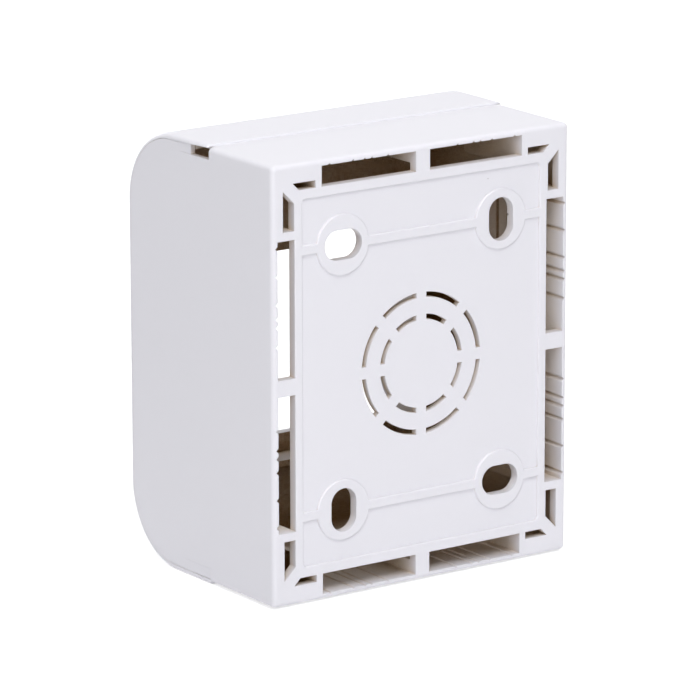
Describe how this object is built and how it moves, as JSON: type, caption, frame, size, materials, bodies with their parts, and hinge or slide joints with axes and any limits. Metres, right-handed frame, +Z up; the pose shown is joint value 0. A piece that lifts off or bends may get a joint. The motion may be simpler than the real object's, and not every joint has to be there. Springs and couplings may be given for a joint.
{
  "type": "surface mounting box",
  "caption": "Wall mounting box for data outlets: a base with slotted fixing holes and trunking knock-outs, and a U-shaped front cover that slides off.",
  "frame": {"origin": "centre of the four wall slots, in the plane of the back edge that meets the wall", "axes": "+Y into the wall, +Z up the wall, +X to the right when the box is seen from the room"},
  "size_m": [0.0642, 0.0456, 0.08],
  "materials": {
    "white_abs": "satin moulded white ABS"
  },
  "bodies": {
    "base": {"base": "white_abs"},
    "cover": {"front_cover": "white_abs"}
  },
  "joints": [
    {"name": "cover_slide", "type": "slide", "parent": "base", "child": "cover", "axis": [0, -1, 0], "range_m": [0, 0.03]}
  ]
}
